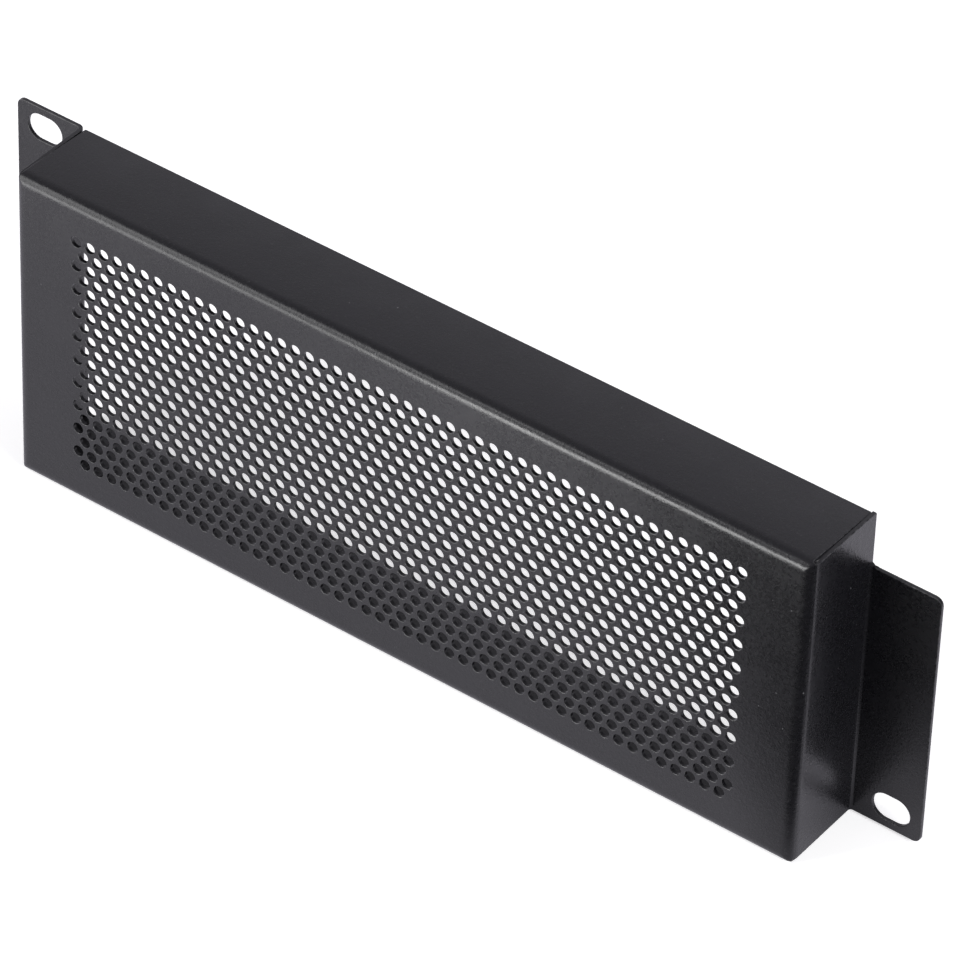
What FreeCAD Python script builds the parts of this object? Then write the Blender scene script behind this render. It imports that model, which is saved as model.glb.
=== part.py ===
"""Vented security panel for a half-width rack bay, two rack units high.

One steel sheet, punched flat and then folded. The front face is perforated
with a staggered pattern of round holes. Four folds turn the sheet back into a
top flange, a bottom flange and two side walls, and each side wall is folded
once more, outwards, into a mounting ear. Each ear has one slot, the left one
at its top and the right one at its bottom, and is cut away at its other end,
so the panel reads the same when it is turned upside down.

Frame: +X to the right as seen from the front, +Y from the front face to the
mounting faces, +Z up. The origin is the bottom centre of the bounding box.
"""
import FreeCAD, Part
import math
import os

# Driving dimensions, in millimetres.

# Sheet and folds.
sheet_thickness = 1.0
inner_bend_radius = 1.0

# Cover: the perforated face and what is folded back from its four edges.
cover_width = 224.6
cover_height = 88.1
cover_depth = 24.7
flange_depth = 23.5
flange_end_gap = 0.3
side_edge_step = 0.7
closed_corner_depth = 1.6

# Ears: folded outwards from the rear of the side walls.
ear_reach = 18.7
ear_cutback = 14.6
ear_corner_radius = 2.0
ear_root_radius = 0.8

# Mounting slots, one in each ear.
slot_length = 10.3
slot_width = 7.4
slot_from_ear_side = 8.2
slot_from_ear_end = 5.25

# Perforation: round holes, each row half a pitch beside the next.
hole_diameter = 2.9
hole_pitch = 4.0
pattern_side_border = 18.0
pattern_top_border = 11.0

# Places that follow from the driving dimensions.
outer_bend_radius = inner_bend_radius + sheet_thickness
side_x = cover_width / 2
ear_x = side_x + ear_reach
front_y = -cover_depth / 2
back_y = cover_depth / 2
flange_y = front_y + flange_depth
top_z = cover_height
middle_z = cover_height / 2
side_bottom_z = side_edge_step
side_top_z = top_z - side_edge_step
side_height = side_top_z - side_bottom_z
row_spacing = hole_pitch * math.sin(math.radians(60))
clear = 5.0


def offset_points(points, distance):
    """Corners of a line of points (u, v), shifted to the left of its direction."""
    shifted = []
    for index, (u, v) in enumerate(points):
        normals = []
        for start, end in ((index - 1, index), (index, index + 1)):
            if start < 0 or end >= len(points):
                continue
            du = points[end][0] - points[start][0]
            dv = points[end][1] - points[start][1]
            length = math.hypot(du, dv)
            normals.append((-dv / length, du / length))
        first, last = normals[0], normals[-1]
        share = distance / (1 + first[0] * last[0] + first[1] * last[1])
        if len(normals) == 1:
            shifted.append((u + distance * first[0], v + distance * first[1]))
        else:
            shifted.append((u + share * (first[0] + last[0]), v + share * (first[1] + last[1])))
    return shifted


def rounded_edges(points, left_radius, right_radius, place):
    """Straight and round edges along points (u, v), rounded at each inner corner."""
    edges = []
    start = points[0]
    for before, corner, after in zip(points, points[1:], points[2:]):
        run_in = math.hypot(corner[0] - before[0], corner[1] - before[1])
        run_out = math.hypot(after[0] - corner[0], after[1] - corner[1])
        way_in = ((corner[0] - before[0]) / run_in, (corner[1] - before[1]) / run_in)
        way_out = ((after[0] - corner[0]) / run_out, (after[1] - corner[1]) / run_out)
        cross = way_in[0] * way_out[1] - way_in[1] * way_out[0]
        radius = left_radius if cross > 0 else right_radius
        half_turn = math.atan2(abs(cross), way_in[0] * way_out[0] + way_in[1] * way_out[1]) / 2
        reach = radius * math.tan(half_turn)
        arc_start = (corner[0] - reach * way_in[0], corner[1] - reach * way_in[1])
        arc_end = (corner[0] + reach * way_out[0], corner[1] + reach * way_out[1])
        inward = (way_out[0] - way_in[0], way_out[1] - way_in[1])
        inward_length = math.hypot(*inward)
        sagitta = radius / math.cos(half_turn) - radius
        arc_middle = (corner[0] + inward[0] / inward_length * sagitta,
                      corner[1] + inward[1] / inward_length * sagitta)
        edges.append(Part.LineSegment(place(*start), place(*arc_start)).toShape())
        edges.append(Part.Arc(place(*arc_start), place(*arc_middle), place(*arc_end)).toShape())
        start = arc_end
    edges.append(Part.LineSegment(place(*start), place(*points[-1])).toShape())
    return edges


def folded_strip(face_points, place, sweep):
    """A sheet folded along face_points, as wide as the vector sweep.

    The sheet lies to the left of face_points, and a bend has the inner radius
    on its hollow side and the outer radius on its crowned side.
    """
    near = rounded_edges(face_points, inner_bend_radius, outer_bend_radius, place)
    back_points = offset_points(face_points, sheet_thickness)
    far = rounded_edges(back_points, outer_bend_radius, inner_bend_radius, place)
    ends = [Part.LineSegment(place(*face_points[i]), place(*back_points[i])).toShape() for i in (0, -1)]
    outline = Part.Wire(Part.__sortEdges__(near + far + ends))
    return Part.Face(outline).extrude(sweep)


def envelope(face_points, place, sweep):
    """The solid block that lies behind the outer face of a folded strip."""
    edges = rounded_edges(face_points, outer_bend_radius, outer_bend_radius, place)
    edges.append(Part.LineSegment(place(*face_points[-1]), place(*face_points[0])).toShape())
    return Part.Face(Part.Wire(Part.__sortEdges__(edges))).extrude(sweep)


def box(x_range, y_range, z_range):
    """A box between the given lowest and highest X, Y and Z."""
    lows = [low for low, high in (x_range, y_range, z_range)]
    sizes = [high - low for low, high in (x_range, y_range, z_range)]
    return Part.makeBox(*sizes, FreeCAD.Vector(*lows))


def plan(z):
    """Places a section of X and Y at the height z."""
    return lambda x, y: FreeCAD.Vector(x, y, z)


def side_view(x):
    """Places a section of Y and Z at the width x."""
    return lambda y, z: FreeCAD.Vector(x, y, z)


def face_and_flanges():
    """Front face, top flange and bottom flange, ending just inside the side walls."""
    outline = [(flange_y, top_z), (front_y, top_z), (front_y, 0), (flange_y, 0)]
    strip = folded_strip(outline, side_view(-side_x), FreeCAD.Vector(cover_width, 0, 0))
    block = [(-side_x, back_y), (-side_x, front_y), (side_x, front_y), (side_x, back_y)]
    strip = strip.common(envelope(block, plan(0), FreeCAD.Vector(0, 0, cover_height)))
    flange_x = side_x - sheet_thickness - flange_end_gap
    gap_y = (front_y + closed_corner_depth, back_y)
    for side in (-1, 1):
        gap_x = sorted((side * flange_x, side * (side_x + clear)))
        strip = strip.cut(box(gap_x, gap_y, (-clear, top_z + clear)))
    return strip


def sides_and_ears():
    """Front face, side walls and ears, over the height of the side walls."""
    fold_y = back_y - sheet_thickness
    outline = [(-ear_x, fold_y), (-side_x, fold_y), (-side_x, front_y),
               (side_x, front_y), (side_x, fold_y), (ear_x, fold_y)]
    strip = folded_strip(outline, plan(side_bottom_z), FreeCAD.Vector(0, 0, side_height))
    block = [(back_y, top_z), (front_y, top_z), (front_y, 0), (back_y, 0)]
    return strip.common(envelope(block, side_view(-ear_x), FreeCAD.Vector(2 * ear_x, 0, 0)))


def cut_back_ear(panel):
    """Cuts the right ear away at its top and leaves the side wall's straight rear edge."""
    ear_top_z = side_top_z - ear_cutback
    bend_y = back_y - sheet_thickness - inner_bend_radius
    panel = panel.cut(box((side_x - sheet_thickness, ear_x + clear), (bend_y, back_y + clear),
                          (ear_top_z, side_top_z + clear)))
    edge = box((side_x - sheet_thickness, side_x), (bend_y, back_y), (ear_top_z, side_top_z))
    root_y = (back_y - sheet_thickness, back_y)
    root = box((side_x, side_x + ear_root_radius), root_y, (ear_top_z, ear_top_z + ear_root_radius))
    hollow = Part.makeCylinder(ear_root_radius, sheet_thickness,
                               FreeCAD.Vector(side_x + ear_root_radius, root_y[0],
                                              ear_top_z + ear_root_radius),
                               FreeCAD.Vector(0, 1, 0))
    return panel.fuse([edge, root.cut(hollow)])


def round_ear_corners(panel, ear_ends):
    """Rounds the outer corners of the right ear, at the heights in ear_ends."""
    corners = []
    for edge in panel.Edges:
        middle = edge.CenterOfMass
        along_y = abs(middle.y - (back_y - sheet_thickness / 2)) < sheet_thickness / 4
        if along_y and abs(middle.x - ear_x) < sheet_thickness / 4:
            if min(abs(middle.z - end) for end in ear_ends) < sheet_thickness / 4:
                corners.append(edge)
    return panel.makeFillet(ear_corner_radius, corners)


def ear_slot():
    """The cutter of the right ear's slot, at the ear's lower end."""
    slot_x = ear_x - slot_from_ear_side
    slot_z = side_bottom_z + slot_from_ear_end
    end_x = (slot_length - slot_width) / 2
    start_y = back_y - sheet_thickness - clear
    depth = sheet_thickness + 2 * clear
    cutter = box((slot_x - end_x, slot_x + end_x), (start_y, start_y + depth),
                 (slot_z - slot_width / 2, slot_z + slot_width / 2))
    for side in (-1, 1):
        cutter = cutter.fuse(Part.makeCylinder(slot_width / 2, depth,
                                               FreeCAD.Vector(slot_x + side * end_x, start_y, slot_z),
                                               FreeCAD.Vector(0, 1, 0)))
    return cutter.removeSplitter()


def turned_over(shape):
    """The shape after half a turn about the panel's centre line along Y."""
    turned = shape.copy()
    turned.rotate(FreeCAD.Vector(0, 0, middle_z), FreeCAD.Vector(0, 1, 0), 180)
    return turned


def hole_centres():
    """Centres (x, z) of the perforation, centred on the face, longest row on top."""
    columns = int((cover_width - 2 * pattern_side_border) / hole_pitch) + 1
    rows = int((cover_height - 2 * pattern_top_border) / row_spacing) + 1
    centres = []
    for row in range(rows):
        count = columns - row % 2
        z = middle_z + ((rows - 1) / 2 - row) * row_spacing
        for column in range(count):
            centres.append(((column - (count - 1) / 2) * hole_pitch, z))
    return centres


def perforate(panel):
    """Punches every hole of the pattern through the front face."""
    punches = [Part.makeCylinder(hole_diameter / 2, sheet_thickness + 2 * clear,
                                 FreeCAD.Vector(x, front_y - clear, z), FreeCAD.Vector(0, 1, 0))
               for x, z in hole_centres()]
    return panel.cut(Part.makeCompound(punches))


def vented_panel():
    """The whole panel: folded, with its ears shaped, slotted and perforated."""
    panel = face_and_flanges().fuse(sides_and_ears())
    ear_ends = (side_bottom_z, side_top_z - ear_cutback)
    for half in range(2):
        panel = round_ear_corners(cut_back_ear(panel), ear_ends)
        panel = turned_over(panel.cut(ear_slot()))
    return perforate(panel.removeSplitter())


os.makedirs("parts", exist_ok=True)
panel = vented_panel()
if len(panel.Solids) != 1 or not panel.isValid():
    raise RuntimeError("the panel is not one valid solid")
panel.Solids[0].exportStep("parts/vented_panel.step")
print("holes", len(hole_centres()), "volume", round(panel.Volume, 1), "box", panel.BoundBox)
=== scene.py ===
"""Looks of a vented security panel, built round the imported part.

The panel is one steel sheet: perforated, folded and powder coated. Its visual
mesh is laid out on the flat blank, as the press shop would cut it, and then
carried round the folds, so that every cut edge, hole rim and bend is rounded
the way a coated sheet is. Sizes of the sheet are in millimetres and the
finished mesh is in metres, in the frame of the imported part.
"""
import logging
import math
from dataclasses import dataclass, field
from enum import Enum

import bpy
import numpy as np
from mathutils import Matrix, Vector, geometry


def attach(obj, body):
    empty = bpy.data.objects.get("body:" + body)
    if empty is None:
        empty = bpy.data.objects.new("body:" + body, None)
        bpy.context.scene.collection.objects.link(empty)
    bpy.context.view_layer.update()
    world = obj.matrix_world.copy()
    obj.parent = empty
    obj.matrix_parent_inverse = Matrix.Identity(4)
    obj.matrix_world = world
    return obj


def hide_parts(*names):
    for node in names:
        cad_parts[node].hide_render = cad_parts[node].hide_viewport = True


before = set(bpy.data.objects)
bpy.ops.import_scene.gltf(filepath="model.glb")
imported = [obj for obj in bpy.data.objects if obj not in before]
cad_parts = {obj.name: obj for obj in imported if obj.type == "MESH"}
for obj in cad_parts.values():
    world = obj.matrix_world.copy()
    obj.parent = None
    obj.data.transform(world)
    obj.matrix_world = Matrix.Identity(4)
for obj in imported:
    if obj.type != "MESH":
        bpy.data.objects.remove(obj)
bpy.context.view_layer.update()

log = logging.getLogger("panel")

METRES_PER_MM = 0.001
QUARTER_TURN = math.pi / 2
LEAST_LENGTH = 1e-12
CELL_SIDES = 6
EDGE_MARK = "edge_mark"
CREST_MARK = 0.5
CUT_MARK = 1.0

Span = tuple[float, float]
Point2 = tuple[float, float]
Line2 = tuple[Point2, Point2]
Corner = tuple[float, float, float]
Place3 = tuple[float, float, float]
Triangle = tuple[int, int, int]
Colour = tuple[float, float, float]
OpaqueColour = tuple[float, float, float, float]
Socket = bpy.types.NodeSocket
Sockets = bpy.types.bpy_prop_collection
Tree = bpy.types.NodeTree

WHITE: OpaqueColour = (1.0, 1.0, 1.0, 1.0)
BLACK: OpaqueColour = (0.0, 0.0, 0.0, 1.0)


class CoatZone(Enum):
    """Where the powder lies: on the sheet's faces, or on punched and sheared edges."""

    SHEET = 0
    CUT_EDGE = 1


class RayKind(Enum):
    """Kinds of rays for which floor and room have a brightness of their own."""

    CAMERA = "Is Camera Ray"
    GLOSSY = "Is Glossy Ray"
    CLEAR = "Is Transmission Ray"


def smooth_step(share: np.ndarray) -> np.ndarray:
    """Eases a share from 0 to 1, held at both ends."""
    held = np.clip(share, 0.0, 1.0)
    return held * held * (3.0 - 2.0 * held)


def unit_rows(vectors: np.ndarray) -> np.ndarray:
    """Each row scaled to length one."""
    lengths = np.linalg.norm(vectors, axis=1, keepdims=True)
    return vectors / np.maximum(lengths, LEAST_LENGTH)


def around(middle: float, half: float) -> Span:
    """Both ends of a span about its middle."""
    return middle - half, middle + half


def opaque(colour: Colour) -> OpaqueColour:
    """A colour with full opacity, as sockets take it."""
    return (*colour, 1.0)


def add_object(name: str, data: bpy.types.ID) -> bpy.types.Object:
    """Adds an object to the scene.

    Args:
        name: The object's name.
        data: Its mesh, lamp or camera.

    Returns:
        The new object.
    """
    added = bpy.data.objects.new(name, data)
    bpy.context.scene.collection.objects.link(added)
    return added


def arc_points(before: Point2, corner: Corner, after: Point2, steps: int) -> list[Point2]:
    """Points that round one corner of a line.

    Args:
        before: The point before the corner.
        corner: The corner's place and radius. A radius of 0 keeps it sharp.
        after: The point after the corner.
        steps: Chords along the round.

    Returns:
        The corner itself, or the points along its round.
    """
    at = Vector(corner[:2])
    radius = corner[2]
    if radius <= 0:
        return [(at.x, at.y)]
    way_in = (Vector(before) - at).normalized()
    way_out = (Vector(after) - at).normalized()
    half_angle = way_in.angle(way_out) / 2
    middle = at + (way_in + way_out).normalized() * (radius / math.sin(half_angle))
    start = at + way_in * (radius / math.tan(half_angle)) - middle
    end = at + way_out * (radius / math.tan(half_angle)) - middle
    sweep = start.angle_signed(end)
    points = []
    for step in range(steps + 1):
        spoke = start.copy()
        spoke.rotate(Matrix.Rotation(-sweep * step / steps, 2))
        points.append((middle.x + spoke.x, middle.y + spoke.y))
    return points


def rounded_loop(corners: list[Corner], steps: int) -> list[Point2]:
    """A closed line with each corner rounded by its own radius.

    Args:
        corners: Place and radius of each corner, in order.
        steps: Chords along each round.

    Returns:
        The points of the closed line.
    """
    points: list[Point2] = []
    for index, corner in enumerate(corners):
        before = corners[index - 1][:2]
        after = corners[(index + 1) % len(corners)][:2]
        points += arc_points(before, corner, after, steps)
    return points


def inside_loop(points: np.ndarray, loop: np.ndarray) -> np.ndarray:
    """Which points lie inside a closed line.

    Args:
        points: Points to test, one a row.
        loop: The closed line's points, one a row.

    Returns:
        A mask with one entry a point.
    """
    inside = np.zeros(len(points), bool)
    for start, end in zip(loop, np.roll(loop, -1, axis=0)):
        crosses = (start[1] > points[:, 1]) != (end[1] > points[:, 1])
        if not crosses.any():
            continue
        share = (points[crosses, 1] - start[1]) / (end[1] - start[1])
        left_of = points[crosses, 0] < start[0] + share * (end[0] - start[0])
        inside[np.flatnonzero(crosses)[left_of]] ^= True
    return inside


@dataclass
class PointBook:
    """Numbers for points, where points that fall on the same grid place share one."""

    places_per_mm: int
    points: list[Point2] = field(default_factory=list)
    numbers: dict[tuple[int, int], int] = field(default_factory=dict)

    def number(self, point: Point2) -> int:
        """Finds a point's number, and adds the point if it is new.

        Args:
            point: The point's place.

        Returns:
            Its number.
        """
        key = (round(point[0] * self.places_per_mm), round(point[1] * self.places_per_mm))
        if key not in self.numbers:
            self.numbers[key] = len(self.points)
            self.points.append((float(point[0]), float(point[1])))
        return self.numbers[key]


@dataclass
class FoldProfile:
    """Section of a press-brake fold along its crowned side.

    The fold is tightest in its middle and eases out into both flats. reach is
    how far it goes along the face, and a higher easing makes its middle
    tighter. It can turn past a quarter by overbend, which comes in after
    overbend_start of its length, where folds no longer share a corner.
    """

    reach: float = 3.45
    easing: float = 1.1
    overbend: float = 0.0
    overbend_start: float = 0.7
    steps: int = 4000
    lengths: np.ndarray = field(init=False)
    angles: np.ndarray = field(init=False)
    reaches: np.ndarray = field(init=False)
    depths: np.ndarray = field(init=False)

    def __post_init__(self) -> None:
        """Follows the fold in small steps and keeps what it finds."""
        spot = np.linspace(-1.0, 1.0, self.steps + 1)
        bend = (1 - np.abs(spot)) ** self.easing
        turned = np.concatenate([[0.0], np.cumsum((bend[1:] + bend[:-1]) / 2)])
        plain = turned / turned[-1] * QUARTER_TURN
        step = self.reach / np.cos((plain[1:] + plain[:-1]) / 2).sum()
        late = ((spot + 1) / 2 - self.overbend_start) / (1 - self.overbend_start)
        self.angles = plain + self.overbend * smooth_step(late)
        middles = (self.angles[1:] + self.angles[:-1]) / 2
        self.lengths = step * np.arange(len(spot))
        self.reaches = step * np.concatenate([[0.0], np.cumsum(np.cos(middles))])
        self.depths = step * np.concatenate([[0.0], np.cumsum(np.sin(middles))])

    @property
    def length(self) -> float:
        """Length of the fold along its crowned side."""
        return float(self.lengths[-1])

    def reach_at(self, length: float) -> float:
        """Reach along the face at a length along the fold."""
        return float(np.interp(length, self.lengths, self.reaches))

    def length_at_depth(self, depth: float) -> float:
        """Length along the fold at which it has gone back by a depth."""
        return float(np.interp(depth, self.depths, self.lengths))

    def follow(self, length: np.ndarray) -> tuple[np.ndarray, np.ndarray]:
        """Follows the fold and the flat behind it.

        Args:
            length: Lengths along the sheet from the start of the fold.

        Returns:
            The reach along the face and the depth behind it.
        """
        past = np.maximum(length - self.length, 0.0)
        reach = np.interp(length, self.lengths, self.reaches) + past * math.cos(self.angles[-1])
        depth = np.interp(length, self.lengths, self.depths) + past * math.sin(self.angles[-1])
        return reach, depth


@dataclass(frozen=True)
class Folds:
    """The folded shape: where each point of the flat blank ends up.

    Blank coordinates run across and up from the middle of the front face, as
    lengths along the sheet's outer side. The right half is worked out here and
    the left half is the same shape after half a turn. The side walls end
    wall_step short of the flanges' outer faces. The right ear's top is cut
    away by ear_cutback, and its fold fades out there within ear_blend. Front
    folds that meet share a closed corner down to closed_corner_depth, and a
    higher corner_power makes that corner sharper.
    """

    cover_width: float = 224.5
    cover_height: float = 88.6
    cover_depth: float = 24.88
    flange_depth: float = 24.6
    thickness: float = 1.0
    ear_radius: float = 0.75
    wall_step: float = 0.67
    flange_end_gap: float = 0.12
    ear_reach: float = 19.0
    ear_cutback: float = 14.97
    ear_blend: float = 0.7
    corner_power: float = 10.0
    closed_corner_depth: float = 1.6
    front: FoldProfile = field(default_factory=FoldProfile)
    flange: FoldProfile = field(default_factory=lambda: FoldProfile(overbend=math.radians(2.8)))

    @property
    def ear_fold_depth(self) -> float:
        """Depth that the ear's fold takes up, its thickness with it."""
        return self.ear_radius + self.thickness

    @property
    def flat_x(self) -> float:
        """Half the width of the flat part of the face."""
        return self.cover_width / 2 - self.front.reach

    @property
    def flat_z(self) -> float:
        """Half the height of the flat part of the face."""
        return self.cover_height / 2 - self.front.reach

    @property
    def wall_run(self) -> float:
        """Flat length of a side wall between its two folds."""
        return self.cover_depth - self.front.reach - self.ear_fold_depth

    @property
    def ear_fold(self) -> float:
        """Where the ear's fold starts on the blank."""
        return self.flat_x + self.front.length + self.wall_run

    @property
    def ear_flat(self) -> float:
        """Where the ear's flat part starts on the blank."""
        return self.ear_fold + self.ear_radius * QUARTER_TURN

    @property
    def ear_top(self) -> float:
        """Height of the right ear's cut-away end."""
        return self.cover_height / 2 - self.wall_step - self.ear_cutback

    def _round_corner(self, reach: np.ndarray, across: np.ndarray, length: np.ndarray) -> np.ndarray:
        """Draws a fold in near a closed corner, so that two folds meet in a soft mitre.

        Args:
            reach: Reach of the fold at each point.
            across: How far each point is past the other fold's start.
            length: Length along the fold at each point.

        Returns:
            The reach that is left.
        """
        closed = self.front.length_at_depth(self.closed_corner_depth)
        held = across * (1 - smooth_step((length - closed) / (self.front.length - closed)))
        power = self.corner_power
        return np.maximum(reach ** power - held ** power, 0.0) ** (1 / power)

    def _ear_fold_shift(self, length: np.ndarray, height: np.ndarray) -> tuple[np.ndarray, np.ndarray]:
        """Follows the ear's fold, which eases out above the ear's cut-away end.

        Args:
            length: Lengths along the sheet from the start of the fold.
            height: Heights on the blank.

        Returns:
            How far out and how far back the sheet has gone.
        """
        least_presence = 1e-5
        presence = 1 - smooth_step((height - self.ear_top) / self.ear_blend)
        curvature = np.maximum(presence, least_presence) / self.ear_radius
        arc = np.minimum(length, QUARTER_TURN / curvature)
        angle = curvature * arc
        rest = length - arc
        out = (1 - np.cos(angle)) / curvature + rest * np.sin(angle)
        back = np.sin(angle) / curvature + rest * np.cos(angle)
        return out, back

    def _right_half(self, across: np.ndarray, up: np.ndarray) -> np.ndarray:
        """Places blank points of the right half.

        Args:
            across: Distances to the right of the middle, none below zero.
            up: Distances above the middle.

        Returns:
            The points on the sheet's outer side.
        """
        side = across - self.flat_x
        rise = np.abs(up) - self.flat_z
        on_side = (side > 0) & (side >= rise)
        on_flange = (rise > 0) & ~on_side
        points = np.stack([across, np.zeros_like(across), up], axis=1)
        reach, depth = self.front.follow(side[on_side])
        width = self._round_corner(reach, np.maximum(rise[on_side], 0.0), side[on_side])
        ear = np.maximum(side[on_side] - self.front.length - self.wall_run, 0.0)
        out, back = self._ear_fold_shift(ear, up[on_side])
        points[on_side, 0] = self.flat_x + width + out
        points[on_side, 1] = depth - ear + back
        reach, depth = self.flange.follow(rise[on_flange])
        height = self._round_corner(reach, np.maximum(side[on_flange], 0.0), rise[on_flange])
        points[on_flange, 1] = depth
        points[on_flange, 2] = np.sign(up[on_flange]) * (self.flat_z + height)
        return points

    def place(self, blank: np.ndarray) -> np.ndarray:
        """Folds the blank.

        Args:
            blank: Blank points, one a row.

        Returns:
            The points on the sheet's outer side, one a row.
        """
        turn = np.where(blank[:, 0] < 0, -1.0, 1.0)
        points = self._right_half(blank[:, 0] * turn, blank[:, 1] * turn)
        points[:, 0] *= turn
        points[:, 2] *= turn
        return points

    def normals(self, blank: np.ndarray) -> np.ndarray:
        """Directions straight out of the sheet's outer side.

        Args:
            blank: Blank points, one a row.

        Returns:
            One unit vector a row.
        """
        nudge = 1e-4
        right = self.place(blank + (nudge, 0.0)) - self.place(blank - (nudge, 0.0))
        upward = self.place(blank + (0.0, nudge)) - self.place(blank - (0.0, nudge))
        return unit_rows(np.cross(right, upward))


@dataclass(frozen=True)
class Perforation:
    """The round vents of the face, in staggered rows, each with a six-sided cell."""

    diameter: float = 2.9
    pitch: float = 4.0
    rows: int = 20
    columns: int = 48
    sides: int = 18

    def centres(self) -> np.ndarray:
        """Places the vents on the blank, long and short rows in turn, a long one on top.

        Returns:
            The centres, one a row.
        """
        found = []
        for row in range(self.rows):
            count = self.columns - row % 2
            height = ((self.rows - 1) / 2 - row) * self.pitch * math.sqrt(3) / 2
            found += [((column - (count - 1) / 2) * self.pitch, height) for column in range(count)]
        return np.array(found)

    def cell_corners(self) -> np.ndarray:
        """Corners of one vent's cell about its centre."""
        angles = np.radians((np.arange(CELL_SIDES) + 0.5) * 360 / CELL_SIDES)
        return np.stack([np.cos(angles), np.sin(angles)], axis=1) * self.pitch / math.sqrt(3)

    def rim(self, edge_round: float) -> np.ndarray:
        """Points about the centre of a vent where the flat of the sheet ends."""
        angles = 2 * math.pi * np.arange(self.sides) / self.sides
        return np.stack([np.cos(angles), np.sin(angles)], axis=1) * (self.diameter / 2 + edge_round)

    def cell_triangles(self) -> list[Triangle]:
        """Triangles between a vent's rim and its cell.

        Returns:
            Corner numbers: the rim's points first, then the cell's six corners.
        """
        each = self.sides // CELL_SIDES
        triangles = []
        for sector in range(CELL_SIDES):
            corner = self.sides + sector
            following = self.sides + (sector + 1) % CELL_SIDES
            for step in range(each):
                point = sector * each + step
                triangles.append((corner, (point + 1) % self.sides, point))
            triangles.append((corner, following, (sector + 1) * each % self.sides))
        return triangles


@dataclass(frozen=True)
class EarSlot:
    """The slot with round ends in an ear, for the rack screw."""

    length: float = 10.3
    width: float = 7.4
    from_ear_side: float = 8.3
    from_ear_end: float = 5.85
    steps: int = 14

    def loop(self, folds: Folds, edge_round: float) -> np.ndarray:
        """The right ear's slot on the blank.

        Args:
            folds: The folded shape that the ear belongs to.
            edge_round: Radius of the rounded edge, kept clear round the slot.

        Returns:
            Points of the closed line where the flat of the ear ends.
        """
        ear_side = folds.ear_flat + folds.ear_reach - folds.ear_radius
        centre_across = ear_side - self.from_ear_side
        centre_height = -folds.cover_height / 2 + folds.wall_step + self.from_ear_end
        radius = self.width / 2 + edge_round
        straight = (self.length - self.width) / 2
        points = []
        for end, shift in enumerate((straight, -straight)):
            for step in range(self.steps + 1):
                angle = -QUARTER_TURN + math.pi * (end + step / self.steps)
                points.append((centre_across + shift + radius * math.cos(angle),
                               centre_height + radius * math.sin(angle)))
        return np.array(points)


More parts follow.
